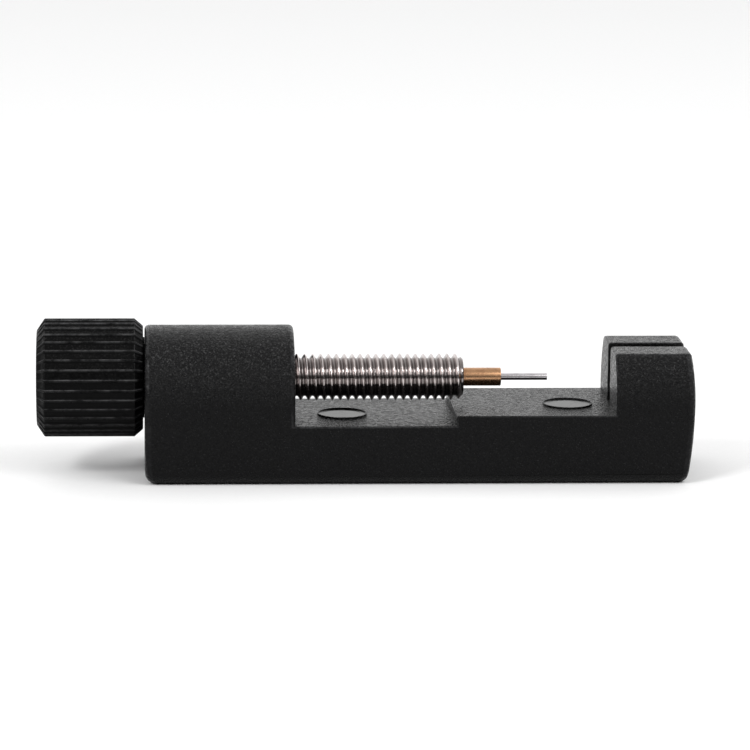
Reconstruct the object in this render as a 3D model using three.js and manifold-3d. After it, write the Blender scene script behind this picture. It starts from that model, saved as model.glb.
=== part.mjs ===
// Screw press for the link pins of a watch bracelet, in millimetres, +Z up.
//
// A moulded cradle lies along X and stands on its flat base. A threaded spindle runs through the
// block at the -X end and pushes a steel pin towards the slotted anvil at the +X end.
// The origin is under the middle of the tool's length, on the surface that it stands on.
// The spindle is drawn fully screwed in, with its knob against the block.

import * as THREE from "three";
import { mergeVertices } from "three/addons/utils/BufferGeometryUtils.js";
import Module from "manifold-3d";

const wasm = await Module();
wasm.setup();

// Lengths along X
const KNOB_LENGTH = 13.4;
const KNOB_GAP = 0.3;
const BLOCK_LENGTH = 18.7;
const CRADLE_LENGTH = 40.1;
const ANVIL_LENGTH = 10.0;
const STEP_FROM_BLOCK = 20.1;
const SPINDLE_REACH = 21.45;
const HOLDER_REACH = 4.85;
const PIN_REACH = 5.9;

// Cross-section of the body
const ARCH_RADIUS = 8.9;
const BODY_TOP = 18.7;
const BASE_EDGE_RADIUS = 1.9;
const END_EDGE_RADIUS = 0.6;

// Heights over the base
const SPINDLE_HEIGHT = 12.1;
const LOW_FLOOR = 7.55;
const HIGH_FLOOR = 8.85;
const ANVIL_TOP = 16.2;

// Anvil
const SLOT_WIDTH = 2.4;
const ANVIL_EDGE = 0.5;
const CROWN_RADIUS = 60;
const CROWN_HEIGHT = 10.2;
const CROWN_LOW = 1.2;
const CROWN_HIGH = 15.4;
const CROWN_CHAMFER = 0.7;

// Ejector marks in the two floors: a thin raised lip round a smooth disc
const MARK_RADIUS = 3.15;
const MARK_LIP = 0.2;
const MARK_HEIGHT = 0.15;
const MARK_ROOT = 0.2;
const MARKS = [
  { fromBlock: 6.2, side: -1.1, floor: LOW_FLOOR },
  { fromBlock: 34.7, side: -1.5, floor: HIGH_FLOOR },
];

// Thread: M6 x 1, right-handed
const PITCH = 1.0;
const THREAD_MAJOR = 2.95;
const THREAD_MINOR = 2.39;
const THREAD_CLEARANCE = 0.18;
const THREAD_SEGMENTS = 16;
const THREAD_START_ANGLE = 126;
const THREAD_PROFILE = { rootEnd: 0.22, crestStart: 0.54, crestEnd: 0.68 };
const TIP_CHAMFER = 0.5;

// Hexagonal threaded insert, moulded into the block
const INSERT_LENGTH = 10;
const INSERT_ACROSS_FLATS = 9;
const BLOCK_BORE_RADIUS = 3.3;

// Knob
const KNOB_RADIUS = 7.45;
const KNOB_RIBS = 36;
const RIB_HEIGHT = 0.25;
const RIB_START = 0.12;
const RIB_CREST = 0.2;
const RIB_FLANK = 0.06;
const KNOB_HUB_RADIUS = 5.1;
const KNOB_HUB_LENGTH = 0.2;
const KNOB_OUTER_CHAMFER = { length: 1.0, depth: 1.5 };
const KNOB_INNER_CHAMFER = { length: 1.1, depth: 0.95 };

// Plain shank that carries the knob, with a flat that drives it
const SHANK_LENGTH = 10.5;
const SHANK_RADIUS = 2.5;
const SHANK_FLAT = 2.0;

// Pin carrier
const HOLDER_RADIUS = 1.15;
const HOLDER_SEAT = 5.2;
const PIN_RADIUS = 0.435;
const PIN_SEAT = 6.0;
const PIN_CHAMFER = 0.08;

// Fits and facets
const FIT = 0.1;
const PIN_FIT = 0.05;
const OVERCUT = 1;
const ENVELOPE_GAP = 0.05;
const ROUND_SEGMENTS = 32;
const ARC_SEGMENTS = 12;
const WELD = 1e-4;

// Places along X
const LENGTH = KNOB_LENGTH + KNOB_GAP + BLOCK_LENGTH + CRADLE_LENGTH + ANVIL_LENGTH;
const KNOB_START = -LENGTH / 2;
const KNOB_END = KNOB_START + KNOB_LENGTH;
const BLOCK_START = KNOB_END + KNOB_GAP;
const BLOCK_END = BLOCK_START + BLOCK_LENGTH;
const STEP = BLOCK_END + STEP_FROM_BLOCK;
const ANVIL_FACE = BLOCK_END + CRADLE_LENGTH;
const BODY_END = ANVIL_FACE + ANVIL_LENGTH;
const SPINDLE_END = BLOCK_END + SPINDLE_REACH;
const HOLDER_END = SPINDLE_END + HOLDER_REACH;
const PIN_END = HOLDER_END + PIN_REACH;
const ARCH_CENTRE = BODY_TOP - ARCH_RADIUS;

const X_AXIS = new THREE.Vector3(1, 0, 0);
const Y_AXIS = new THREE.Vector3(0, 1, 0);
const Z_AXIS = new THREE.Vector3(0, 0, 1);

/** A closed geometry as a solid that can be joined and cut. */
function solidOf(geometry) {
  const bare = geometry.clone();
  bare.deleteAttribute("normal");
  bare.deleteAttribute("uv");
  const welded = mergeVertices(bare, WELD);
  const mesh = new wasm.Mesh({
    numProp: 3,
    vertProperties: new Float32Array(welded.attributes.position.array),
    triVerts: new Uint32Array(welded.index.array),
  });
  return new wasm.Manifold(mesh);
}

/** A solid as a geometry that a mesh can show. */
function geometryOf(solid) {
  const mesh = solid.getMesh();
  const geometry = new THREE.BufferGeometry();
  geometry.setAttribute("position", new THREE.BufferAttribute(mesh.vertProperties, 3));
  geometry.setIndex(new THREE.BufferAttribute(mesh.triVerts, 1));
  geometry.computeVertexNormals();
  return geometry;
}

/** A solid turned about the X axis from [x, radius] points that start and end on the axis. */
function turned(points, segments = ROUND_SEGMENTS) {
  const profile = points.map(([x, radius]) => new THREE.Vector2(radius, x));
  const geometry = new THREE.LatheGeometry(profile, segments);
  geometry.rotateZ(-Math.PI / 2);
  return solidOf(geometry);
}

/** A round bar along the X axis. */
function bar(from, to, radius, segments = ROUND_SEGMENTS) {
  return turned([[from, 0], [from, radius], [to, radius], [to, 0]], segments);
}

/** A block from its limits along X, Y and Z. */
function block([x0, x1], [y0, y1], [z0, z1]) {
  const geometry = new THREE.BoxGeometry(x1 - x0, y1 - y0, z1 - z0);
  geometry.translate((x0 + x1) / 2, (y0 + y1) / 2, (z0 + z1) / 2);
  return solidOf(geometry);
}

/** An outline in the YZ plane extruded along X, with its end edges rounded by edge. */
function extrudedAlongX(shape, from, to, edge = 0) {
  const geometry = new THREE.ExtrudeGeometry(shape, {
    depth: to - from - 2 * edge,
    curveSegments: ARC_SEGMENTS,
    bevelEnabled: edge > 0,
    bevelThickness: edge,
    bevelSize: edge,
    bevelOffset: -edge,
    bevelSegments: 2,
  });
  geometry.applyMatrix4(new THREE.Matrix4().makeBasis(Y_AXIS, Z_AXIS, X_AXIS));
  geometry.translate(from + edge, 0, 0);
  return solidOf(geometry);
}

/** An outline in the XZ plane extruded to both sides of Y = 0. */
function extrudedAlongY(shape, halfWidth) {
  const geometry = new THREE.ExtrudeGeometry(shape, {
    depth: 2 * halfWidth,
    curveSegments: ARC_SEGMENTS,
    bevelEnabled: false,
  });
  geometry.applyMatrix4(new THREE.Matrix4().makeBasis(X_AXIS, Z_AXIS, Y_AXIS.clone().negate()));
  geometry.translate(0, halfWidth, 0);
  return solidOf(geometry);
}

/** A regular outline in the YZ plane with flats at the given distance from its centre. */
function polygonShape(sides, flatDistance) {
  const corner = flatDistance / Math.cos(Math.PI / sides);
  const points = Array.from({ length: sides }, (_, i) => {
    const angle = (2 * Math.PI * (i + 0.5)) / sides;
    return new THREE.Vector2(corner * Math.cos(angle), corner * Math.sin(angle));
  });
  return new THREE.Shape(points);
}

/**
 * A rod with a right-hand thread along the X axis, from x = 0 to length.
 * Four points of the thread's profile are carried round the helix, and each turn's last point
 * joins the next turn's first. The ragged ends are then cut square.
 */
function threadedRod(length, minor, major) {
  const profile = [
    { along: 0, radius: minor },
    { along: THREAD_PROFILE.rootEnd, radius: minor },
    { along: THREAD_PROFILE.crestStart, radius: major },
    { along: THREAD_PROFILE.crestEnd, radius: major },
  ];
  const rows = profile.length;
  const turns = Math.ceil(length / PITCH) + 3;
  const steps = turns * THREAD_SEGMENTS;
  const start = -2 * PITCH;
  const positions = [];
  for (let step = 0; step <= steps; step += 1) {
    const angle = (2 * Math.PI * step) / THREAD_SEGMENTS;
    for (const { along, radius } of profile) {
      const x = start + PITCH * (along + step / THREAD_SEGMENTS);
      positions.push(x, radius * Math.cos(angle), radius * Math.sin(angle));
    }
  }
  const at = (step, row) =>
    row === rows ? (step + THREAD_SEGMENTS) * rows : step * rows + row;

  const faces = [];
  const lastJoined = steps - THREAD_SEGMENTS;
  for (let step = 0; step < steps; step += 1) {
    const strips = step < lastJoined ? rows : rows - 1;
    for (let row = 0; row < strips; row += 1) {
      const [a, b] = [at(step, row), at(step, row + 1)];
      const [c, d] = [at(step + 1, row + 1), at(step + 1, row)];
      faces.push(a, c, b, a, d, c);
    }
  }

  // each end is a fan from a point on the axis to the open rim
  const fan = (centreX, rim) => {
    const centre = positions.length / 3;
    positions.push(centreX, 0, 0);
    rim.forEach((vertex, i) => {
      if (i > 0) faces.push(centre, vertex, rim[i - 1]);
    });
  };
  const firstRim = Array.from({ length: THREAD_SEGMENTS + 1 }, (_, step) => at(step, 0));
  for (let row = rows - 1; row >= 0; row -= 1) firstRim.push(at(0, row));
  fan(start, firstRim);
  const lastRim = [];
  for (let step = lastJoined; step <= steps; step += 1) lastRim.push(at(step, rows - 1));
  for (let row = rows - 2; row >= 0; row -= 1) lastRim.push(at(steps, row));
  lastRim.push(lastRim[0]);
  fan(start + PITCH * (turns + 1), lastRim.reverse());

  const geometry = new THREE.BufferGeometry();
  geometry.setAttribute("position", new THREE.Float32BufferAttribute(positions, 3));
  geometry.setIndex(faces);
  return solidOf(geometry)
    .rotate([THREAD_START_ANGLE, 0, 0])
    .intersect(bar(0, length, major + OVERCUT));
}

/** The D-shaped, flat-bottomed section of the whole body. */
function bodySection() {
  const side = ARCH_RADIUS - BASE_EDGE_RADIUS;
  const shape = new THREE.Shape();
  shape.moveTo(-side, 0);
  shape.lineTo(side, 0);
  shape.quadraticCurveTo(ARCH_RADIUS, 0, ARCH_RADIUS, BASE_EDGE_RADIUS);
  shape.lineTo(ARCH_RADIUS, ARCH_CENTRE);
  shape.absarc(0, ARCH_CENTRE, ARCH_RADIUS, 0, Math.PI);
  shape.lineTo(-ARCH_RADIUS, BASE_EDGE_RADIUS);
  shape.quadraticCurveTo(-ARCH_RADIUS, 0, -side, 0);
  return shape;
}

/** The body seen from the side: block, two floors with a step between them, and crowned anvil. */
function bodyElevation() {
  const crownAngle = (height) => Math.asin((height - CROWN_HEIGHT) / CROWN_RADIUS);
  const crownAt = (height) =>
    BODY_END - CROWN_RADIUS * (1 - Math.cos(crownAngle(height)));
  const shape = new THREE.Shape();
  shape.moveTo(BLOCK_START - OVERCUT, -OVERCUT);
  shape.lineTo(crownAt(CROWN_LOW) - CROWN_CHAMFER, -OVERCUT);
  shape.lineTo(crownAt(CROWN_LOW) - CROWN_CHAMFER, 0);
  shape.lineTo(crownAt(CROWN_LOW), CROWN_LOW);
  shape.absarc(
    BODY_END - CROWN_RADIUS,
    CROWN_HEIGHT,
    CROWN_RADIUS,
    crownAngle(CROWN_LOW),
    crownAngle(CROWN_HIGH),
  );
  shape.lineTo(crownAt(CROWN_HIGH) - CROWN_CHAMFER, ANVIL_TOP);
  shape.lineTo(ANVIL_FACE + ANVIL_EDGE, ANVIL_TOP);
  shape.lineTo(ANVIL_FACE, ANVIL_TOP - ANVIL_EDGE);
  shape.lineTo(ANVIL_FACE, HIGH_FLOOR);
  shape.lineTo(STEP, HIGH_FLOOR);
  shape.lineTo(STEP, LOW_FLOOR);
  shape.lineTo(BLOCK_END, LOW_FLOOR);
  shape.lineTo(BLOCK_END, BODY_TOP + OVERCUT);
  shape.lineTo(BLOCK_START - OVERCUT, BODY_TOP + OVERCUT);
  return shape;
}

/** The thin raised lip round one ejector mark. */
function markLip({ fromBlock, side, floor }) {
  const outline = [
    [MARK_RADIUS - MARK_LIP, floor - MARK_ROOT],
    [MARK_RADIUS, floor - MARK_ROOT],
    [MARK_RADIUS, floor + MARK_HEIGHT],
    [MARK_RADIUS - MARK_LIP, floor + MARK_HEIGHT],
    [MARK_RADIUS - MARK_LIP, floor - MARK_ROOT],
  ];
  const profile = outline.map(([radius, height]) => new THREE.Vector2(radius, height));
  const geometry = new THREE.LatheGeometry(profile, ROUND_SEGMENTS);
  geometry.rotateX(Math.PI / 2);
  geometry.translate(BLOCK_END + fromBlock, side, 0);
  return solidOf(geometry);
}

/** The space that the threaded insert fills, grown by gap on every side. */
function insertSpace(gap) {
  const middle = (BLOCK_START + BLOCK_END) / 2;
  const half = INSERT_LENGTH / 2 + gap;
  const hexagon = polygonShape(6, INSERT_ACROSS_FLATS / 2 + gap);
  return extrudedAlongX(hexagon, middle - half, middle + half);
}

function cradleBody() {
  const whole = extrudedAlongX(bodySection(), BLOCK_START, BODY_END, END_EDGE_RADIUS);
  const outside = whole.intersect(extrudedAlongY(bodyElevation(), ARCH_RADIUS + OVERCUT));
  const slot = block(
    [ANVIL_FACE - OVERCUT, BODY_END + OVERCUT],
    [-SLOT_WIDTH / 2, SLOT_WIDTH / 2],
    [HIGH_FLOOR, BODY_TOP],
  );
  const bore = bar(BLOCK_START - OVERCUT, BLOCK_END + OVERCUT, BLOCK_BORE_RADIUS)
    .add(insertSpace(FIT))
    .translate([0, 0, SPINDLE_HEIGHT]);
  const lips = MARKS.map(markLip).reduce((all, lip) => all.add(lip));
  return outside.subtract(slot).subtract(bore).add(lips);
}

/** The insert's thread and the spindle's share one helix, so that they are in mesh. */
function threadedInsert() {
  const reach = KNOB_GAP + BLOCK_LENGTH;
  const thread = threadedRod(
    reach,
    THREAD_MINOR + THREAD_CLEARANCE,
    THREAD_MAJOR + THREAD_CLEARANCE,
  ).translate([KNOB_END, 0, 0]);
  return insertSpace(0).subtract(thread);
}

function driveSpindle() {
  const threadLength = SPINDLE_END - KNOB_END;
  const thread = threadedRod(threadLength, THREAD_MINOR, THREAD_MAJOR)
    .translate([KNOB_END, 0, 0]);
  const envelope = turned([
    [KNOB_END - OVERCUT, 0],
    [KNOB_END - OVERCUT, THREAD_MAJOR + OVERCUT],
    [SPINDLE_END - TIP_CHAMFER - OVERCUT, THREAD_MAJOR + OVERCUT],
    [SPINDLE_END, THREAD_MAJOR - TIP_CHAMFER],
    [SPINDLE_END, 0],
  ]);
  const shank = bar(KNOB_END - SHANK_LENGTH, KNOB_END + OVERCUT / 2, SHANK_RADIUS);
  const flat = block(
    [KNOB_END - SHANK_LENGTH - OVERCUT, KNOB_END - OVERCUT],
    [-KNOB_RADIUS, KNOB_RADIUS],
    [SHANK_FLAT, KNOB_RADIUS],
  );
  const socket = bar(SPINDLE_END - HOLDER_SEAT - FIT, SPINDLE_END + OVERCUT, HOLDER_RADIUS + FIT);
  return thread.intersect(envelope).add(shank.subtract(flat)).subtract(socket);
}

/** The knob's outline: narrow raised ribs, placed by shares of the pitch between them. */
function ribbedShape() {
  const pitch = (2 * Math.PI) / KNOB_RIBS;
  const corners = [
    { share: RIB_START, radius: KNOB_RADIUS },
    { share: RIB_START + RIB_CREST, radius: KNOB_RADIUS },
    { share: RIB_START + RIB_CREST + RIB_FLANK, radius: KNOB_RADIUS - RIB_HEIGHT },
    { share: 1 + RIB_START - RIB_FLANK, radius: KNOB_RADIUS - RIB_HEIGHT },
  ];
  const points = [];
  for (let rib = 0; rib < KNOB_RIBS; rib += 1) {
    for (const { share, radius } of corners) {
      const angle = pitch * (rib + share);
      points.push(new THREE.Vector2(radius * Math.cos(angle), radius * Math.sin(angle)));
    }
  }
  return new THREE.Shape(points);
}

function thumbKnob() {
  const ribbed = extrudedAlongX(ribbedShape(), KNOB_START, KNOB_END);
  const over = KNOB_RADIUS + ENVELOPE_GAP;
  const envelope = turned([
    [KNOB_START, 0],
    [KNOB_START, KNOB_RADIUS - KNOB_OUTER_CHAMFER.depth],
    [KNOB_START + KNOB_OUTER_CHAMFER.length, over],
    [KNOB_END - KNOB_INNER_CHAMFER.length, over],
    [KNOB_END, KNOB_RADIUS - KNOB_INNER_CHAMFER.depth],
    [KNOB_END, 0],
  ], KNOB_RIBS);
  const hub = bar(KNOB_END - OVERCUT, KNOB_END + KNOB_HUB_LENGTH, KNOB_HUB_RADIUS);
  const boreStart = KNOB_END - SHANK_LENGTH - FIT;
  const boreEnd = KNOB_END + OVERCUT;
  const flat = block(
    [boreStart - OVERCUT, KNOB_END - OVERCUT - FIT],
    [-KNOB_RADIUS, KNOB_RADIUS],
    [SHANK_FLAT + FIT, KNOB_RADIUS],
  );
  const bore = bar(boreStart, boreEnd, SHANK_RADIUS + FIT).subtract(flat);
  const mouth = bar(KNOB_END - FIT, boreEnd, THREAD_MAJOR + FIT);
  return ribbed.intersect(envelope).add(hub).subtract(bore).subtract(mouth);
}

function tipHolder() {
  const sleeve = turned([
    [SPINDLE_END - HOLDER_SEAT, 0],
    [SPINDLE_END - HOLDER_SEAT, HOLDER_RADIUS],
    [HOLDER_END - FIT, HOLDER_RADIUS],
    [HOLDER_END, HOLDER_RADIUS - FIT],
    [HOLDER_END, 0],
  ]);
  const socket = bar(HOLDER_END - PIN_SEAT - PIN_FIT, HOLDER_END + OVERCUT, PIN_RADIUS + PIN_FIT);
  return sleeve.subtract(socket);
}

function drivePin() {
  return turned([
    [HOLDER_END - PIN_SEAT, 0],
    [HOLDER_END - PIN_SEAT, PIN_RADIUS],
    [PIN_END - PIN_CHAMFER, PIN_RADIUS],
    [PIN_END, PIN_RADIUS - PIN_CHAMFER],
    [PIN_END, 0],
  ]);
}

/** A named piece with its own finish. */
function piece(name, solid, finish) {
  const mesh = new THREE.Mesh(geometryOf(solid), new THREE.MeshStandardMaterial(finish));
  mesh.name = name;
  return mesh;
}

const BODY_PLASTIC = { color: 0x1e1e1f, roughness: 0.55, metalness: 0 };
const KNOB_PLASTIC = { color: 0x161617, roughness: 0.5, metalness: 0 };
const STAINLESS = { color: 0xb4afac, roughness: 0.28, metalness: 1 };
const HARD_STEEL = { color: 0xa9a7a8, roughness: 0.22, metalness: 1 };
const BRASS = { color: 0xb98a5c, roughness: 0.35, metalness: 1 };

const body = new THREE.Group();
body.add(piece("cradle_body", cradleBody(), BODY_PLASTIC));

const screw = new THREE.Group();
screw.position.set(0, 0, SPINDLE_HEIGHT);
screw.add(piece("threaded_insert", threadedInsert(), BRASS));
screw.add(piece("drive_spindle", driveSpindle(), STAINLESS));
screw.add(piece("thumb_knob", thumbKnob(), KNOB_PLASTIC));
screw.add(piece("tip_holder", tipHolder(), BRASS));
screw.add(piece("drive_pin", drivePin(), HARD_STEEL));

const linkPinPress = new THREE.Group();
linkPinPress.add(body, screw);

export default linkPinPress;
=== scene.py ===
"""Looks of a bracelet link pin press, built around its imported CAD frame.

Meshes are drawn in millimetres and scaled to metres when they are placed. They use the frame's
own axes: +X runs along the tool from the knob to the anvil, +Z is up, the tool stands on z = 0.
"""

import logging
import math
from dataclasses import dataclass
from enum import Enum
from typing import Any, Callable, Sequence

import bmesh
import bpy
import numpy as np
from mathutils import Matrix, Vector

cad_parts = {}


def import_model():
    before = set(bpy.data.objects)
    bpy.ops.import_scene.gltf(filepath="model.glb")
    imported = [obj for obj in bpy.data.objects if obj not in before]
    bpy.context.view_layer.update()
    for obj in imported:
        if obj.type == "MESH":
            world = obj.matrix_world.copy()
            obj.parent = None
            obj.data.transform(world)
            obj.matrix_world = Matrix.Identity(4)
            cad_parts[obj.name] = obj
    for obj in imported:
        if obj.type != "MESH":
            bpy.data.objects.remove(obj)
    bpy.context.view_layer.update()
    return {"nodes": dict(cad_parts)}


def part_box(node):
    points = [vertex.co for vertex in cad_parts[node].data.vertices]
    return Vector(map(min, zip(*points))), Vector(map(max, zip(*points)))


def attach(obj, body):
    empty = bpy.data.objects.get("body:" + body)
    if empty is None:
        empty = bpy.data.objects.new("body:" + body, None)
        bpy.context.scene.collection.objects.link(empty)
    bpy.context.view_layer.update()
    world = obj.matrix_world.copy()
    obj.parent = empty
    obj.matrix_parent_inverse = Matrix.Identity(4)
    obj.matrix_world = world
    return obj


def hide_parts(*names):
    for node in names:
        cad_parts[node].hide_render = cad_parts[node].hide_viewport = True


log = logging.getLogger("link_pin_press")

MM = 0.001
WELD = 1e-4
OVERSHOOT = 1.0
NEAR = 0.02
# Mask of narrow convex edges: lighter from wear, and also a painted highlight where they face up.
WEAR_AND_SHEEN = "wear_and_sheen"
WEAR_AND_SHEEN_AREA = 5.0
WEAR_AND_SHEEN_WIDTH = 0.4

Point = tuple[float, float]
Colour = tuple[float, float, float]


# ---------------------------------------------------------------------------------------------
# Shader graphs
# ---------------------------------------------------------------------------------------------


class Signal:
    """A shader output whose arithmetic adds Math nodes to its graph."""

    def __init__(self, graph: "Graph", socket: bpy.types.NodeSocket) -> None:
        """Keeps the socket and the graph that new nodes go into."""
        self.graph = graph
        self.socket = socket

    def _math(self, operation: str, *terms: "Signal | float") -> "Signal":
        """A Math node on the terms."""
        return self.graph.add("ShaderNodeMath", {"operation": operation}, dict(enumerate(terms)))

    def __add__(self, other: "Signal | float") -> "Signal":
        """This plus other."""
        return self._math("ADD", self, other)

    def __radd__(self, other: float) -> "Signal":
        """Other plus this."""
        return self._math("ADD", other, self)

    def __sub__(self, other: "Signal | float") -> "Signal":
        """This minus other."""
        return self._math("SUBTRACT", self, other)

    def __rsub__(self, other: float) -> "Signal":
        """Other minus this."""
        return self._math("SUBTRACT", other, self)

    def __mul__(self, other: "Signal | float") -> "Signal":
        """This times other."""
        return self._math("MULTIPLY", self, other)

    def __rmul__(self, other: float) -> "Signal":
        """Other times this."""
        return self._math("MULTIPLY", other, self)

    def __pow__(self, other: "Signal | float") -> "Signal":
        """This to the power of other."""
        return self._math("POWER", self, other)

    def faded(self, low: float, high: float) -> "Signal":
        """A smooth step from 0 at low to 1 at high."""
        return self.graph.add(
            "ShaderNodeMapRange",
            {"interpolation_type": "SMOOTHSTEP"},
            {"Value": self, "From Min": low, "From Max": high},
        )

    def sibling(self, output: str) -> "Signal":
        """Another output of the same node."""
        return Signal(self.graph, self.socket.node.outputs[output])


class Graph:
    """The node tree of one material or of the world."""

    def __init__(self, tree: bpy.types.NodeTree) -> None:
        """Starts with an empty tree."""
        self.tree = tree
        tree.nodes.clear()

    def add(
        self,
        kind: str,
        settings: dict[str, Any] | None = None,
        inputs: dict[int | str, Any] | None = None,
        output: int | str = 0,
    ) -> Signal | None:
        """Adds a node.

        Args:
            kind: The node's type.
            settings: The node's properties, which are set before its inputs.
            inputs: A number, colour or Signal for each input, by name or place.
            output: The output to give back.

        Returns:
            The chosen output, or None for a node that has no outputs.
        """
        node = self.tree.nodes.new(kind)
        for name, value in (settings or {}).items():
            setattr(node, name, value)
        for key, value in (inputs or {}).items():
            if isinstance(value, Signal):
                self.tree.links.new(value.socket, node.inputs[key])
            else:
                node.inputs[key].default_value = value
        return Signal(self, node.outputs[output]) if len(node.outputs) else None

    def place(self) -> Signal:
        """The piece's own coordinates in millimetres, which move with it."""
        point = self.add("ShaderNodeTexCoord", output="Object")
        return self.add("ShaderNodeVectorMath", {"operation": "SCALE"}, {0: point, "Scale": 1 / MM})

    def split(self, vector: Signal) -> tuple[Signal, Signal, Signal]:
        """The three parts of a vector."""
        x = self.add("ShaderNodeSeparateXYZ", {}, {0: vector}, "X")
        return x, x.sibling("Y"), x.sibling("Z")

    def noise(self, place: Signal, size: float, detail: float = 2.0, rough: float = 0.5) -> Signal:
        """Noise from 0 to 1 whose lumps are about size millimetres across."""
        return self.add(
            "ShaderNodeTexNoise",
            {},
            {"Vector": place, "Scale": 1 / size, "Detail": detail, "Roughness": rough},
        )

    def blend(self, share: Signal, first: "Colour | Signal", second: Colour) -> Signal:
        """A colour between first, at share 0, and second, at share 1."""
        start = first if isinstance(first, Signal) else (*first, 1.0)
        return self.add(
            "ShaderNodeMix", {"data_type": "RGBA"}, {0: share, 6: start, 7: (*second, 1.0)}, 2
        )

    def bump(self, height: Signal, depth: float, under: Signal | None = None) -> Signal:
        """A surface normal from a height of 0 to 1.

        Args:
            height: The height.
            depth: What a height of 1 stands for, in millimetres.
            under: A normal that this relief is laid over.

        Returns:
            The bent normal.
        """
        inputs: dict[int | str, Any] = {"Height": height, "Distance": depth * MM}
        if under is not None:
            inputs["Normal"] = under
        return self.add("ShaderNodeBump", {}, inputs)


# ---------------------------------------------------------------------------------------------
# Finishes
# ---------------------------------------------------------------------------------------------


@dataclass(frozen=True)
class Finish:
    """What every finish shares: a name and the making of its material."""

    name: str

    def shader(self, graph: Graph) -> Signal:
        """The finish's shader, which each kind of finish draws for itself."""
        raise NotImplementedError

    def material(self) -> bpy.types.Material:
        """The finish as a material."""
        material = bpy.data.materials.new(self.name)
        material.use_nodes = True
        graph = Graph(material.node_tree)
        graph.add("ShaderNodeOutputMaterial", {}, {"Surface": self.shader(graph)})
        return material


@dataclass(frozen=True)
class MouldedPlastic(Finish):
    """Black injection-moulded plastic with a fine spark-eroded grain, painted glints, and edges lighter
    from wear and from a painted highlight.
    """

    tint: Colour = (0.003, 0.003, 0.0032)
    # painted_glint: colour of pale specks painted on what faces up, standing in for glints of light on
    # the grain
    painted_glint: Colour = (0.055, 0.055, 0.055)
    # edge: colour that narrow convex edges blend to, partly wear and partly a painted highlight
    edge: Colour = (0.03, 0.03, 0.031)
    smooth: float = 0.2
    rough: float = 0.3
    mottle: float = 0.2
    grain: float = 0.22
    grain_depth: float = 0.25
    specular: float = 0.1

    def shader(self, graph: Graph) -> Signal:
        """Grain over slow waves of the mould, painted glints as pale specks on what faces up, and edges
        lightened by wear and by a painted highlight.
        """
        place = graph.place()
        grain = graph.noise(place, self.grain, 2.0, 0.55)
        pits = graph.noise(place, self.grain * 2.4, 1.0)
        cloud = graph.noise(place, 6.0, 3.0, 0.6)
        # Edge wear and painted sheen: narrow convex edges broken up by noise. The mask also flattens the
        # grain and lowers the roughness there.
        edge_wear_and_sheen = graph.add("ShaderNodeAttribute", {"attribute_name": WEAR_AND_SHEEN}, output="Fac")
        edge_wear_and_sheen = edge_wear_and_sheen * graph.noise(place, 1.4, 3.0, 0.7).faded(0.3, 0.7)
        above = graph.split(graph.add("ShaderNodeNewGeometry", output="Normal"))[2].faded(-0.1, 0.9)
        # Painted glints: pale specks of grain noise, kept to what faces up, where light from above
        # catches the grain.
        painted_glint = graph.noise(place, self.grain, 2.0, 0.6).faded(0.5, 0.76) * above
        relief = grain * 0.7 + pits * 0.3
        normal = graph.bump(cloud, self.grain_depth * 0.2)
        normal = graph.bump(relief * (1 - edge_wear_and_sheen * 0.8), self.grain_depth, normal)
        mottle = (pits.faded(0.36, 0.64) - 0.5) * self.mottle
        gloss = self.smooth + (self.rough - self.smooth) * cloud + mottle
        colour = graph.blend(painted_glint, self.tint, self.painted_glint)
        return graph.add(
            "ShaderNodeBsdfPrincipled",
            {},
            {
                # Edges blend to the edge colour, more where they face up: partly wear, partly a painted
                # highlight of light from above.
                "Base Color": graph.blend(edge_wear_and_sheen * (0.25 + above * 0.75), colour, self.edge),
                "Roughness": gloss - edge_wear_and_sheen * 0.08,
                "Specular IOR Level": self.specular,
                "IOR": 1.5,
                "Normal": normal,
            },
        )


@dataclass(frozen=True)
class TurnedMetal(Finish):
    """Metal cut on a lathe, with fine rings about the spindle's axis."""

    axis_height: float = 0.0
    tint: Colour = (0.6, 0.6, 0.6)
    stain: Colour = (0.3, 0.3, 0.3)
    smooth: float = 0.18
    rough: float = 0.34
    ring: float = 0.05
    ring_depth: float = 0.004
    # groove_shade: colour of the painted shade in the thread roots
    groove_shade: Colour = (0.05, 0.042, 0.04)
    groove_radii: Point = (-2.0, -1.0)

    def shader(self, graph: Graph) -> Signal:
        """Rings of the tool, a cloudy polish, patches of dull film, and painted shade in the thread's
        grooves.
        """
        place = graph.place()
        x, y, z = graph.split(place)
        up = z - self.axis_height
        radius = (y * y + up * up) ** 0.5
        around = graph.add("ShaderNodeCombineXYZ", {}, {"X": x, "Y": radius, "Z": y * 0.02})
        rings = graph.noise(around, self.ring, 2.0, 0.6)
        film = graph.noise(place, 1.1, 3.0, 0.6).faded(0.45, 0.8)
        # Painted shade: darker where the radius falls below groove_radii, in the thread roots.
        root_shade_mask = 1 - radius.faded(*self.groove_radii)
        colour = graph.blend(film * 0.6 + rings * 0.25, self.tint, self.stain)
        return graph.add(
            "ShaderNodeBsdfPrincipled",
            {},
            {
                "Base Color": graph.blend(root_shade_mask * 0.65, colour, self.groove_shade),
                "Roughness": self.smooth + (self.rough - self.smooth) * (film * 0.6 + rings * 0.4),
                "Metallic": 1.0,
                "Normal": graph.bump(rings, self.ring_depth),
            },
        )


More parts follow.
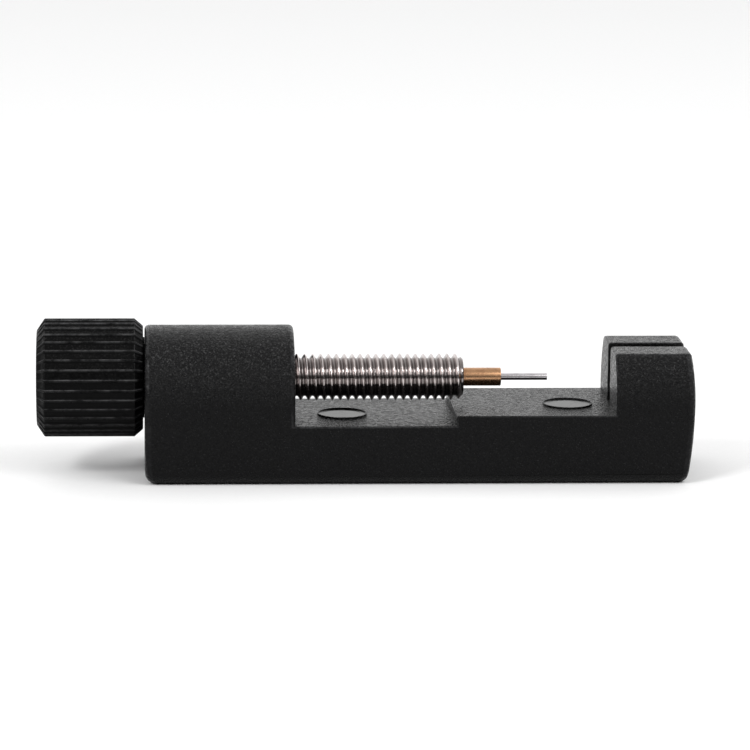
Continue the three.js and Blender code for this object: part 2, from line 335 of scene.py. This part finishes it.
@dataclass(frozen=True)
class GroundMetal(Finish):
    """Hardened metal ground along its length."""

    tint: Colour = (0.62, 0.6, 0.61)
    stain: Colour = (0.3, 0.28, 0.29)

    def shader(self, graph: Graph) -> Signal:
        """Scratches that run along X, and a faint film."""
        place = graph.place()
        x, y, z = graph.split(place)
        along = graph.add("ShaderNodeCombineXYZ", {}, {"X": x * 0.06, "Y": y, "Z": z})
        scratches = graph.noise(along, 0.08, 2.0, 0.6)
        film = graph.noise(place, 0.8, 3.0, 0.6).faded(0.4, 0.75)
        return graph.add(
            "ShaderNodeBsdfPrincipled",
            {},
            {
                "Base Color": graph.blend(film * 0.4 + scratches * 0.2, self.tint, self.stain),
                "Roughness": 0.1 + scratches * 0.14,
                "Metallic": 1.0,
                "Normal": graph.bump(scratches, 0.002),
            },
        )


@dataclass(frozen=True)
class PaleBoard(Finish):
    """The matt white board that the tool stands on."""

    tint: Colour = (0.93, 0.93, 0.93)

    def shader(self, graph: Graph) -> Signal:
        """Almost even white with a faint fibre."""
        fibre = graph.noise(graph.place(), 1.2, 3.0, 0.8)
        dim = tuple(0.95 * part for part in self.tint)
        return graph.add(
            "ShaderNodeBsdfPrincipled",
            {},
            {
                "Base Color": graph.blend(fibre, self.tint, dim),
                "Roughness": 0.75 + fibre * 0.1,
                "Specular IOR Level": 0.2,
            },
        )


# ---------------------------------------------------------------------------------------------
# Mesh making, in millimetres
# ---------------------------------------------------------------------------------------------


class Along(Enum):
    """The axis that an outline is extruded along, with how its points become vertices."""

    X = "x"
    Y = "y"

    def vertex(self, across: float, height: float, place: float) -> tuple[float, float, float]:
        """The vertex of an outline's point at a place along the axis."""
        return (place, across, height) if self is Along.X else (across, place, height)


class Cut(Enum):
    """What a cutting tool leaves of a piece."""

    OUTSIDE = "DIFFERENCE"
    INSIDE = "INTERSECT"


def arc(centre: Point, radius: float, start: float, end: float, steps: int) -> list[Point]:
    """Points of an arc, both ends included, with angles in degrees."""
    angles = np.radians(np.linspace(start, end, steps + 1))
    return [(centre[0] + radius * math.cos(a), centre[1] + radius * math.sin(a)) for a in angles]


def eased(points: Sequence[tuple[float, float, float]], steps: int = 5) -> list[Point]:
    """An open outline with its corners rounded.

    Args:
        points: The corners as (x, y, radius), where a radius of 0 keeps the corner sharp.
        steps: The number of pieces that each round corner has.

    Returns:
        The outline's points.
    """
    done: list[Point] = []
    for place, (x, y, radius) in enumerate(points):
        corner = Vector((x, y))
        if radius == 0 or place in (0, len(points) - 1):
            done.append((x, y))
            continue
        before = Vector(points[place - 1][:2]) - corner
        after = Vector(points[place + 1][:2]) - corner
        half = before.angle(after) / 2
        reach = radius / math.tan(half)
        middle = corner + (before.normalized() + after.normalized()).normalized() * (
            radius / math.sin(half)
        )
        first = corner + before.normalized() * reach - middle
        last = corner + after.normalized() * reach - middle
        for step in range(steps + 1):
            point = middle + first.slerp(last, step / steps) * radius
            done.append((point.x, point.y))
    return done


def new_object(name: str, mesh: bpy.types.Mesh) -> bpy.types.Object:
    """An object in the scene that shows the mesh."""
    made = bpy.data.objects.new(name, mesh)
    bpy.context.scene.collection.objects.link(made)
    return made


def finished_mesh(name: str, shape: bmesh.types.BMesh) -> bpy.types.Mesh:
    """The shape as a clean mesh with its faces turned outwards."""
    bmesh.ops.remove_doubles(shape, verts=shape.verts, dist=WELD)
    bmesh.ops.dissolve_degenerate(shape, dist=WELD, edges=shape.edges)
    bmesh.ops.recalc_face_normals(shape, faces=shape.faces)
    mesh = bpy.data.meshes.new(name)
    shape.to_mesh(mesh)
    shape.free()
    return mesh


def prism(name: str, outline: Sequence[Point], along: Along, low: float, high: float) -> bpy.types.Object:
    """A closed outline extruded along an axis, as an object."""
    shape = bmesh.new()
    ends = [[shape.verts.new(along.vertex(a, h, at)) for a, h in outline] for at in (low, high)]
    count = len(outline)
    for i in range(count):
        j = (i + 1) % count
        shape.faces.new((ends[0][i], ends[0][j], ends[1][j], ends[1][i]))
    shape.faces.new(ends[0])
    shape.faces.new(ends[1])
    return new_object(name, finished_mesh(name, shape))


def lathe(
    shape: bmesh.types.BMesh,
    profile: Sequence[Point],
    axis_height: float,
    segments: int,
    radius_at: Callable[[float, float], float] | None = None,
    flat: float | None = None,
) -> None:
    """Turns a profile about the spindle's axis into the shape.

    Args:
        shape: What the surface is added to.
        profile: Points as (x, radius).
        axis_height: The height of the axis.
        segments: The number of pieces in a turn.
        radius_at: Changes a radius by (radius, angle), for ribs.
        flat: The height over the axis at which the surface is cut flat.
    """
    rings = []
    for x, radius in profile:
        ring = []
        for step in range(segments):
            angle = 2 * math.pi * step / segments
            reach = radius_at(radius, angle) if radius_at else radius
            height = reach * math.sin(angle)
            if flat is not None:
                height = min(height, flat)
            ring.append(shape.verts.new((x, reach * math.cos(angle), axis_height + height)))
        rings.append(ring)
    for first, second in zip(rings, rings[1:]):
        for i in range(segments):
            j = (i + 1) % segments
            shape.faces.new((first[i], first[j], second[j], second[i]))


def settle(piece: bpy.types.Object) -> None:
    """Applies the piece's modifiers to its mesh."""
    state = bpy.context.evaluated_depsgraph_get()
    mesh = bpy.data.meshes.new_from_object(piece.evaluated_get(state))
    piece.modifiers.clear()
    piece.data = mesh


def carve(piece: bpy.types.Object, tool: bpy.types.Object, kept: Cut = Cut.OUTSIDE) -> None:
    """Cuts the piece by the tool, which is then dropped.

    Args:
        piece: What is cut.
        tool: The closed shape that cuts it.
        kept: Whether what lies outside the tool or inside it is kept.
    """
    cut = piece.modifiers.new("cut", "BOOLEAN")
    cut.operation = kept.value
    cut.solver = "EXACT"
    cut.object = tool
    settle(piece)
    bpy.data.objects.remove(tool)


def shade(mesh: bpy.types.Mesh, crease: float) -> None:
    """Shades the mesh smooth, apart from edges that bend by more than the crease in degrees."""
    mesh.shade_smooth()
    mesh.set_sharp_from_angle(angle=math.radians(crease))


def mark_wear_and_sheen(mesh: bpy.types.Mesh, low: float, high: float) -> None:
    """Stores how sharply the mesh bends at each small narrow face, for edge wear and a painted edge
    highlight.

    Args:
        mesh: The mesh, in millimetres.
        low: The bend in degrees that gets no wear or highlight at all.
        high: The bend in degrees that gets full wear and highlight.
    """
    shape = bmesh.new()
    shape.from_mesh(mesh)
    bend = np.zeros(len(shape.faces))
    for face in shape.faces:
        area = face.calc_area()
        if area > WEAR_AND_SHEEN_AREA or 2 * area > WEAR_AND_SHEEN_WIDTH * face.calc_perimeter():
            continue
        angles = (
            math.degrees(edge.calc_face_angle(0.0))
            for edge in face.edges
            if len(edge.link_faces) == 2 and edge.is_convex
        )
        bend[face.index] = max(angles, default=0.0)
    shape.free()
    attribute = mesh.attributes.new(WEAR_AND_SHEEN, "FLOAT", "FACE")
    attribute.data.foreach_set("value", np.clip((bend - low) / (high - low), 0, 1))


def hand_over(piece: bpy.types.Object, body: str, node: str, slot: str, *finishes: Finish) -> None:
    """Scales a piece to metres, dresses it, and hands it to the frame.

    Args:
        piece: The piece, drawn in millimetres.
        body: The CAD body that it rides on.
        node: The CAD node that it stands for.
        slot: The record's material slot; not used.
        finishes: The finish of each of the mesh's material slots.
    """
    piece.data.transform(Matrix.Scale(MM, 4))
    for finish in finishes:
        piece.data.materials.append(finish.material())
    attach(piece, body)
    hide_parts(node)


# ---------------------------------------------------------------------------------------------
# Places
# ---------------------------------------------------------------------------------------------


@dataclass(frozen=True)
class Layout:
    """Places in millimetres, read from the CAD frame."""

    block_start: float
    body_end: float
    half_width: float
    body_top: float
    axis: float
    knob_start: float
    hub_end: float
    knob_radius: float
    shank_start: float
    spindle_end: float
    holder_start: float
    holder_end: float
    pin_start: float
    pin_end: float
    pin_radius: float

    @classmethod
    def read(cls) -> "Layout":
        """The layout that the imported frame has."""
        names = ("cradle_body", "thumb_knob", "drive_spindle", "tip_holder", "drive_pin")
        boxes = {name: [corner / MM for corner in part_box(name)] for name in names}
        body, knob, spindle, holder, pin = (boxes[name] for name in names)
        return cls(
            block_start=body[0].x,
            body_end=body[1].x,
            half_width=body[1].y,
            body_top=body[1].z,
            axis=(pin[0].z + pin[1].z) / 2,
            knob_start=knob[0].x,
            hub_end=knob[1].x,
            knob_radius=knob[1].z - (pin[0].z + pin[1].z) / 2,
            shank_start=spindle[0].x,
            spindle_end=spindle[1].x,
            holder_start=holder[0].x,
            holder_end=holder[1].x,
            pin_start=pin[0].x,
            pin_end=pin[1].x,
            pin_radius=pin[1].y,
        )


# ---------------------------------------------------------------------------------------------
# Sub-assemblies
# ---------------------------------------------------------------------------------------------


@dataclass
class SubAssembly:
    """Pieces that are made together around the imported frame."""

    layout: Layout

    def build(self) -> list[bpy.types.Object]:
        """Makes the pieces, which each sub-assembly does for itself."""
        raise NotImplementedError


@dataclass
class Cradle(SubAssembly):
    """The moulded body: block, two floors with a step between them, and slotted anvil."""

    block_length: float = 18.7
    cradle_length: float = 40.1
    step_from_block: float = 20.1
    low_floor: float = 7.55
    high_floor: float = 8.85
    anvil_top: float = 16.2
    slot_width: float = 2.4
    base_edge: float = 1.9
    crown_radius: float = 60.0
    crown_height: float = 10.2
    crown_depth: float = 2.5
    bore_radius: float = 3.3
    insert_flats: float = 9.2
    insert_length: float = 10.2
    crown_edge: float = 0.8
    crown_top_edge: float = 0.5
    block_edge: float = 0.55
    block_foot_edge: float = 1.5
    block_foot_height: float = 2.5
    anvil_corner: float = 0.4
    face_edge: float = 0.18
    slot_edge: float = 0.25
    other_edge: float = 0.22
    mark_radius: float = 3.15
    mark_lip: float = 0.2
    mark_segments: int = 96
    marks: tuple[tuple[float, float, float], ...] = ((6.2, -1.1, 7.55), (34.7, -1.5, 8.85))

    @property
    def block_end(self) -> float:
        """Where the block's inner face is."""
        return self.layout.block_start + self.block_length

    @property
    def step(self) -> float:
        """Where the floor steps up."""
        return self.block_end + self.step_from_block

    @property
    def anvil_face(self) -> float:
        """Where the anvil's inner face is."""
        return self.block_end + self.cradle_length

    def section(self) -> list[Point]:
        """The D-shaped section of the whole body, with points at the anvil's top edges."""
        half, edge = self.layout.half_width, self.base_edge
        centre = self.layout.body_top - half
        corner = math.degrees(math.asin((self.anvil_top - centre) / half))
        return [
            *arc((half - edge, edge), edge, -90, 0, 10),
            *arc((0, centre), half, 0, corner, 14),
            *arc((0, centre), half, corner, 180 - corner, 22)[1:-1],
            *arc((0, centre), half, 180 - corner, 180, 14),
            *arc((edge - half, edge), edge, 180, 270, 10),
        ]

    def elevation(self) -> list[Point]:
        """The outline from the side, with room outside the section's own faces."""
        layout = self.layout
        centre = (layout.body_end - self.crown_radius, self.crown_height)
        low, slot, high = (
            math.degrees(math.asin((z - self.crown_height) / self.crown_radius))
            for z in (0.0, self.high_floor, self.anvil_top)
        )
        crown = [
            *arc(centre, self.crown_radius, low, slot, 7),
            *arc(centre, self.crown_radius, slot, high, 6)[1:],
        ]
        return [
            (layout.block_start - OVERSHOOT, -OVERSHOOT),
            (crown[0][0], -OVERSHOOT),
            *crown,
            (self.anvil_face, self.anvil_top),
            (self.anvil_face, self.high_floor),
            (self.step, self.high_floor),
            (self.step, self.low_floor),
            (self.block_end, self.low_floor),
            (self.block_end, layout.body_top + OVERSHOOT),
            (layout.block_start - OVERSHOOT, layout.body_top + OVERSHOOT),
        ]

    def edge_radius(self, middle: Vector, convex: bool) -> float:
        """The radius of the moulded edge through a point, in millimetres."""
        x, y, z = middle
        at_block = abs(x - self.layout.block_start) < NEAR or abs(x - self.block_end) < NEAR
        at_top = abs(z - self.anvil_top) < NEAR
        at_face = abs(x - self.anvil_face) < NEAR
        from_axis = math.hypot(y, z - self.layout.axis)
        if x < self.block_end + NEAR and from_axis < self.bore_radius + NEAR:
            return self.face_edge if at_block else 0.0
        if not convex:
            return 0.0
        if x > self.layout.body_end - self.crown_depth:
            return self.crown_top_edge if z > self.anvil_top - NEAR else self.crown_edge
        if at_block:
            foot = min(max(1 - z / self.block_foot_height, 0.0), 1.0)
            return self.block_edge + (self.block_foot_edge - self.block_edge) * foot
        if at_top and at_face:
            return self.anvil_corner
        if at_top or at_face:
            return self.face_edge
        if abs(abs(y) - self.slot_width / 2) < NEAR:
            return self.slot_edge
        return self.other_edge

    def soften(self, piece: bpy.types.Object) -> None:
        """Rounds the edges of the cut body."""
        shape = bmesh.new()
        shape.from_mesh(piece.data)
        bmesh.ops.remove_doubles(shape, verts=shape.verts, dist=WELD)
        bmesh.ops.dissolve_limit(
            shape, angle_limit=math.radians(0.05), verts=shape.verts, edges=shape.edges
        )
        weight = shape.edges.layers.float.new("bevel_weight_edge")
        for edge in shape.edges:
            if len(edge.link_faces) == 2 and edge.calc_face_angle(0.0) > math.radians(25):
                middle = (edge.verts[0].co + edge.verts[1].co) / 2
                edge[weight] = self.edge_radius(middle, edge.is_convex)
        shape.to_mesh(piece.data)
        shape.free()
        rounding = piece.modifiers.new("edges", "BEVEL")
        rounding.limit_method = "WEIGHT"
        rounding.width = 1.0
        rounding.segments = 4
        rounding.use_clamp_overlap = False
        rounding.miter_outer = "MITER_ARC"
        settle(piece)

    def add_marks(self, piece: bpy.types.Object) -> None:
        """Adds the ejector marks, each a smooth disc inside a thin raised lip."""
        shape = bmesh.new()
        shape.from_mesh(piece.data)
        inside = self.mark_radius - self.mark_lip
        profile = eased(
            [
                (0.0, 0.015, 0.0),
                (inside - 0.35, 0.015, 0.8),
                (inside, 0.05, 0.05),
                (inside + 0.04, 0.2, 0.03),
                (self.mark_radius, 0.2, 0.05),
                (self.mark_radius, -0.3, 0.0),
            ]
        )
        angles = [2 * math.pi * step / self.mark_segments for step in range(self.mark_segments)]
        for from_block, side, floor in self.marks:
            middle = self.block_end + from_block
            rings = [
                [
                    shape.verts.new(
                        (middle + radius * math.cos(a), side + radius * math.sin(a), floor + height)
                    )
                    for a in angles
                ]
                for radius, height in profile
            ]
            for first, second, (radius, _) in zip(rings, rings[1:], profile[1:]):
                for i in range(self.mark_segments):
                    j = (i + 1) % self.mark_segments
                    face = shape.faces.new((first[j], first[i], second[i], second[j]))
                    face.material_index = int(radius < inside)
        bmesh.ops.remove_doubles(shape, verts=shape.verts, dist=WELD)
        shape.to_mesh(piece.data)
        shape.free()

    def cut(self, piece: bpy.types.Object) -> None:
        """Cuts the side's outline, the slot, the bore and the insert's pocket."""
        layout = self.layout
        wide = layout.half_width + OVERSHOOT
        carve(piece, prism("side_tool", self.elevation(), Along.Y, -wide, wide), Cut.INSIDE)
        half, top = self.slot_width / 2, layout.body_top
        slot = [(-half, self.high_floor), (half, self.high_floor), (half, top), (-half, top)]
        slot_start, slot_end = self.anvil_face - OVERSHOOT, layout.body_end + OVERSHOOT
        carve(piece, prism("slot_tool", slot, Along.X, slot_start, slot_end))
        bore = arc((0, layout.axis), self.bore_radius, 0, 360, 72)[:-1]
        bore_start, bore_end = layout.block_start - OVERSHOOT, self.block_end + OVERSHOOT
        carve(piece, prism("bore_tool", bore, Along.X, bore_start, bore_end))
        hexagon = arc((0, layout.axis), self.insert_flats / math.sqrt(3), 30, 390, 6)[:-1]
        middle, half = (layout.block_start + self.block_end) / 2, self.insert_length / 2
        carve(piece, prism("pocket_tool", hexagon, Along.X, middle - half, middle + half))

    def build(self) -> list[bpy.types.Object]:
        """Cuts, rounds and dresses the body."""
        layout = self.layout
        length = (layout.block_start, layout.body_end + OVERSHOOT)
        piece = prism("cradle_moulding", self.section(), Along.X, *length)
        self.cut(piece)
        self.soften(piece)
        mark_wear_and_sheen(piece.data, low=8, high=18)
        self.add_marks(piece)
        shade(piece.data, 32)
        weighted = piece.modifiers.new("flats", "WEIGHTED_NORMAL")
        weighted.keep_sharp = True
        weighted.weight = 100
        settle(piece)
        disc = MouldedPlastic(
            "smooth_black", painted_glint=(0.006, 0.006, 0.006), smooth=0.1, rough=0.18, mottle=0.04,
            grain=0.8, grain_depth=0.01, specular=0.12,
        )
        hand_over(piece, "cradle", "cradle_body", "body_plastic", MouldedPlastic("grained_black"), disc)
        return [piece]


@dataclass
class Knob(SubAssembly):
    """The ribbed knob with its chamfers, hub and blind bore."""

    end_trim: float = 0.2
    hub_length: float = 0.08
    hub_reach: float = 0.08
    hub_radius: float = 5.1
    ribs: int = 36
    rib_height: float = 0.25
    rib_middle: float = 0.22
    rib_half: float = 0.1
    rib_flank: float = 0.06
    rib_foot: float = 0.04
    rib_soft: float = 0.02
    fade_start: float = 1.5
    fade_end: float = 0.6
    stock: float = 0.03
    outer_chamfer: Point = (1.0, 1.5)
    inner_chamfer: Point = (1.1, 0.95)
    bore_radius: float = 2.6
    bore_depth: float = 10.6
    bore_flat: float = 2.1
    mouth_radius: float = 3.05
    mouth_depth: float = 0.1
    ribbed_from: float = 5.5
    longest_part: float = 0.12
    most_parts: int = 14
    steps: int = 20

    def rib_reach(self, radius: float, angle: float) -> float:
        """Cuts the ribs, which fade out down the chamfers.

        Args:
            radius: The turned surface's radius.
            angle: The place around the knob, in radians.

        Returns:
            The radius of the ribbed surface, with a small round edge where ribs meet it.
        """
        share = (angle * self.ribs / (2 * math.pi) - self.rib_middle + 0.5) % 1.0 - 0.5
        crest, foot = self.rib_half, self.rib_half + self.rib_flank
        places = [0, crest * 0.5, crest, foot, foot + self.rib_foot]
        rise = np.interp(abs(share), places, [1, 0.97, 0.8, 0.1, 0])
        full = self.layout.knob_radius
        fade = np.interp(radius, [full - self.fade_start, full - self.fade_end], [0, 1])
        outline = min(radius, full) - self.rib_height * float(fade) * (1 - rise)
        over = (radius - outline) / self.rib_soft
        if over <= -8:
            return radius
        return radius - self.rib_soft * math.log1p(math.exp(min(over, 60)))

    def build(self) -> list[bpy.types.Object]:
        """Turns and dresses the knob."""
        layout = self.layout
        face = layout.hub_end - self.hub_length
        hub_end = layout.hub_end + self.hub_reach
        start, top = layout.knob_start + self.end_trim, layout.knob_radius + self.stock
        out_long, out_deep = self.outer_chamfer
        in_long, in_deep = self.inner_chamfer
        corners = eased(
            [
                (start, 0.0, 0.0),
                (start, top - out_deep, 0.35),
                (start + out_long, top, 0.3),
                (face - in_long, top, 0.3),
                (face, top - in_deep, 0.3),
                (face, self.hub_radius, 0.06),
                (hub_end, self.hub_radius, 0.06),
                (hub_end, self.mouth_radius, 0.05),
                (face - self.mouth_depth, self.mouth_radius, 0.0),
                (face - self.mouth_depth, self.bore_radius, 0.0),
            ]
        )
        outside: list[Point] = []
        for (x0, r0), (x1, r1) in zip(corners, corners[1:]):
            ribbed = r1 > self.ribbed_from and x1 > x0
            parts = round(math.hypot(x1 - x0, r1 - r0) / self.longest_part) if ribbed else 1
            parts = min(max(1, parts), self.most_parts)
            shares = [k / parts for k in range(parts)]
            outside += [(x0 + (x1 - x0) * share, r0 + (r1 - r0) * share) for share in shares]
        outside.append(corners[-1])
        shape = bmesh.new()
        lathe(shape, outside, layout.axis, self.ribs * self.steps, self.rib_reach)
        inside = [
            (face - self.mouth_depth, self.bore_radius),
            (face - self.bore_depth, self.bore_radius),
            (face - self.bore_depth, 0.0),
        ]
        lathe(shape, inside, layout.axis, self.ribs * self.steps, flat=self.bore_flat)
        piece = new_object("ribbed_knob", finished_mesh("ribbed_knob", shape))
        mark_wear_and_sheen(piece.data, low=14, high=40)
        shade(piece.data, 50)
        # The knob's pale edge colour lights the rib crests: partly wear, partly a painted highlight.
        finish = MouldedPlastic(
            "satin_black", tint=(0.0015, 0.0015, 0.0016), painted_glint=(0.02, 0.02, 0.02),
            edge=(0.09, 0.09, 0.092), smooth=0.34, rough=0.46, grain_depth=0.03, specular=0.06,
        )
        hand_over(piece, "screw", "thumb_knob", "knob_plastic", finish)
        return [piece]


@dataclass
class Spindle(SubAssembly):
    """The threaded spindle with its chamfered tip, end socket and shank."""

    pitch: float = 1.0
    major: float = 2.95
    minor: float = 2.39
    tip_radius: float = 2.3
    root_end: float = 0.22
    crest_start: float = 0.54
    crest_end: float = 0.68
    start_angle: float = 126.0
    shank_radius: float = 2.5
    shank_flat: float = 2.0
    shank_length: float = 10.5
    socket_radius: float = 1.25
    socket_depth: float = 5.3
    socket_chamfer: float = 0.08
    rows: int = 16
    steps: int = 72

    def profile(self) -> np.ndarray:
        """The thread's radius at each row of one pitch, with its corners rounded."""
        fine = np.arange(0, 1, 1 / (self.rows * 8))
        sharp = np.interp(
            fine,
            [0, self.root_end, self.crest_start, self.crest_end, 1],
            [self.minor, self.minor, self.major, self.major, self.minor],
        )
        width = self.rows // 2
        soft = sum(np.roll(sharp, shift) for shift in range(-width, width + 1)) / (2 * width + 1)
        return soft[::8]

    def thread(self, shape: bmesh.types.BMesh, start: float, end: float) -> None:
        """Adds a right-hand thread between two places along X, with a chamfer at its end."""
        turns = math.ceil(end - start) + 3
        count = turns * self.steps
        step, row = np.meshgrid(np.arange(count + 1), np.arange(self.rows), indexing="ij")
        angle = 2 * np.pi * step / self.steps + math.radians(self.start_angle)
        x = start - 2 * self.pitch + self.pitch * (row / self.rows + step / self.steps)
        x = np.clip(x, start, end)
        radius = np.minimum(self.profile()[row], self.tip_radius + (end - x))
        y, z = radius * np.cos(angle), self.layout.axis + radius * np.sin(angle)
        grid = [
            [shape.verts.new(point) for point in line] for line in np.stack([x, y, z], axis=-1)
        ]
        for i in range(count):
            for j in range(self.rows):
                last = j == self.rows - 1
                if last and i + self.steps + 1 > count:
                    continue
                near = grid[i + self.steps][0] if last else grid[i][j + 1]
                far = grid[i + self.steps + 1][0] if last else grid[i + 1][j + 1]
                shape.faces.new((grid[i][j], near, far, grid[i + 1][j]))

    def build(self) -> list[bpy.types.Object]:
        """Cuts and dresses the spindle."""
        layout = self.layout
        thread_start = layout.shank_start + self.shank_length
        shape = bmesh.new()
        self.thread(shape, thread_start, layout.spindle_end)
        tip = [
            (layout.spindle_end, self.tip_radius),
            (layout.spindle_end, self.socket_radius + self.socket_chamfer),
            (layout.spindle_end - self.socket_chamfer, self.socket_radius),
            (layout.spindle_end - self.socket_depth, self.socket_radius),
            (layout.spindle_end - self.socket_depth, 0.0),
        ]
        lathe(shape, tip, layout.axis, self.steps)
        shank = eased(
            [
                (layout.shank_start, 0.0, 0.0),
                (layout.shank_start, self.shank_radius, 0.25),
                (thread_start - self.pitch, self.shank_radius, 0.0),
            ]
        )
        lathe(shape, shank, layout.axis, self.steps, flat=self.shank_flat)
        collar = [
            (thread_start - self.pitch, 0.0),
            (thread_start - self.pitch, self.shank_radius),
            (thread_start + self.pitch / 2, self.minor),
        ]
        lathe(shape, collar, layout.axis, self.steps)
        piece = new_object("threaded_spindle", finished_mesh("threaded_spindle", shape))
        shade(piece.data, 50)
        # The spindle's finish paints shade into the thread roots, between the radii given by
        # groove_radii.
        finish = TurnedMetal(
            "cut_stainless", axis_height=layout.axis, tint=(0.6, 0.55, 0.54),
            stain=(0.27, 0.235, 0.225), smooth=0.1, rough=0.24, ring=0.09, ring_depth=0.02,
            groove_radii=(self.minor - 0.05, self.major - 0.12),
        )
        hand_over(piece, "screw", "drive_spindle", "spindle_steel", finish)
        return [piece]


@dataclass
class PinCarrier(SubAssembly):
    """The brass holder in the spindle's end and the steel pin pressed into it."""

    holder_radius: float = 1.15
    pin_fit: float = 0.05
    segments: int = 72

    def turn(self, name: str, profile: Sequence[Point]) -> bpy.types.Object:
        """A turned piece on the spindle's axis."""
        shape = bmesh.new()
        lathe(shape, profile, self.layout.axis, self.segments)
        piece = new_object(name, finished_mesh(name, shape))
        shade(piece.data, 40)
        return piece

    def build(self) -> list[bpy.types.Object]:
        """Turns and dresses the holder and the pin."""
        layout = self.layout
        socket = layout.pin_radius + self.pin_fit
        holder = self.turn(
            "brass_holder",
            eased(
                [
                    (layout.holder_start, 0.0, 0.0),
                    (layout.holder_start, self.holder_radius, 0.1),
                    (layout.holder_end, self.holder_radius, 0.12),
                    (layout.holder_end, socket, 0.04),
                    (layout.pin_start - self.pin_fit, socket, 0.0),
                    (layout.pin_start - self.pin_fit, 0.0, 0.0),
                ]
            ),
        )
        brass = TurnedMetal(
            "turned_brass", axis_height=layout.axis, tint=(0.5, 0.285, 0.155),
            stain=(0.26, 0.13, 0.07), smooth=0.22, rough=0.38, ring=0.07,
        )
        hand_over(holder, "pin_carrier", "tip_holder", "holder_brass", brass)
        pin = self.turn(
            "push_pin",
            eased(
                [
                    (layout.pin_start, 0.0, 0.0),
                    (layout.pin_start, layout.pin_radius, 0.06),
                    (layout.pin_end, layout.pin_radius, 0.07),
                    (layout.pin_end, 0.0, 0.0),
                ]
            ),
        )
        hand_over(pin, "pin_carrier", "drive_pin", "pin_steel", GroundMetal("ground_steel"))
        return [holder, pin]


@dataclass
class Insert(SubAssembly):
    """The hexagonal insert inside the block, which keeps its CAD shape."""

    node: bpy.types.Object

    def build(self) -> list[bpy.types.Object]:
        """Gives the CAD node a brass finish."""
        brass = TurnedMetal(
            "insert_brass", axis_height=self.layout.axis, tint=(0.6, 0.42, 0.2),
            stain=(0.38, 0.24, 0.11), smooth=0.25, rough=0.4,
        )
        self.node.data.materials.clear()
        self.node.data.materials.append(brass.material())
        return [self.node]


# ---------------------------------------------------------------------------------------------
# Studio
# ---------------------------------------------------------------------------------------------


@dataclass(frozen=True)
class Softbox:
    """A square area light that looks at the tool."""

    name: str
    place: tuple[float, float, float]
    size: float
    power: float

    def build(self) -> None:
        """Puts the light in the scene."""
        light = bpy.data.lights.new(self.name, "AREA")
        light.shape = "SQUARE"
        light.size = self.size
        light.energy = self.power
        lamp = bpy.data.objects.new(self.name, light)
        bpy.context.scene.collection.objects.link(lamp)
        lamp.location = self.place
        lamp.rotation_euler = (-Vector(self.place)).to_track_quat("-Z", "Y").to_euler()


@dataclass
class Studio:
    """A white board, a soft room that is brightest at the back, softboxes and the camera."""

    eye: tuple[float, float, float] = (-0.02906, -0.49029, 0.11076)
    elevation: float = 11.33
    yaw: float = 3.57
    roll: float = 0.58
    lens: float = 190.3
    sensor: float = 36.0
    board: float = 8.0
    room_back: float = 1.25
    room_above: float = 0.8
    room_front: float = 0.1
    softboxes: tuple[Softbox, ...] = (
        Softbox("key", (-0.6, -0.6, 0.7), 0.3, 4.8),
        Softbox("fill", (0.55, -0.5, 0.6), 0.6, 4.0),
    )

    def build_board(self) -> None:
        """The board, flush with the bottom of the tool."""
        shape = bmesh.new()
        bmesh.ops.create_grid(shape, x_segments=1, y_segments=1, size=self.board / 2)
        mesh = bpy.data.meshes.new("board")
        shape.to_mesh(mesh)
        shape.free()
        mesh.materials.append(PaleBoard("white_board").material())
        new_object("board", mesh)

    def build_room(self) -> None:
        """Light from all round: dimmest in front, brighter overhead, brightest behind the tool."""
        world = bpy.data.worlds.new("room")
        bpy.context.scene.world = world
        world.use_nodes = True
        graph = Graph(world.node_tree)
        direction = graph.add("ShaderNodeTexCoord", output="Generated")
        _, deep, high = graph.split(direction)
        front = self.room_front + (self.room_above - self.room_front) * high.faded(0.1, 0.7)
        strength = front + (self.room_back - front) * deep.faded(0.0, 0.9)
        sky = graph.add("ShaderNodeBackground", {}, {"Color": (1, 1, 1, 1), "Strength": strength})
        graph.add("ShaderNodeOutputWorld", {}, {"Surface": sky})

    def build_camera(self) -> None:
        """The camera, in front of the tool and a little above it."""
        yaw, tilt = math.radians(self.yaw), math.radians(self.elevation)
        right = Vector((math.cos(yaw), -math.sin(yaw), 0))
        level = math.cos(tilt)
        ahead = Vector((math.sin(yaw) * level, math.cos(yaw) * level, -math.sin(tilt)))
        up = right.cross(ahead)
        turn = Matrix((right, up, -ahead)).transposed().to_4x4()
        data = bpy.data.cameras.new("camera")
        data.lens, data.sensor_width = self.lens, self.sensor
        data.clip_start, data.clip_end = 0.01, 20
        camera = bpy.data.objects.new("camera", data)
        bpy.context.scene.collection.objects.link(camera)
        roll = Matrix.Rotation(math.radians(self.roll), 4, "Z")
        camera.matrix_world = Matrix.Translation(self.eye) @ turn @ roll
        bpy.context.scene.camera = camera

    def build(self) -> None:
        """Makes the whole studio."""
        bpy.context.scene.view_settings.view_transform = "Standard"
        self.build_board()
        self.build_room()
        for softbox in self.softboxes:
            softbox.build()
        self.build_camera()
        log.info("studio with %d softboxes", len(self.softboxes))


def main() -> None:
    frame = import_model()
    logging.basicConfig(level=logging.INFO, format="%(message)s")
    layout = Layout.read()
    Studio().build()
    insert = Insert(layout, frame["nodes"]["threaded_insert"])
    for assembly in (Cradle(layout), Knob(layout), Spindle(layout), PinCarrier(layout), insert):
        for piece in assembly.build():
            log.info("%s: %d faces", piece.name, len(piece.data.polygons))


if __name__ == "__main__":
    main()
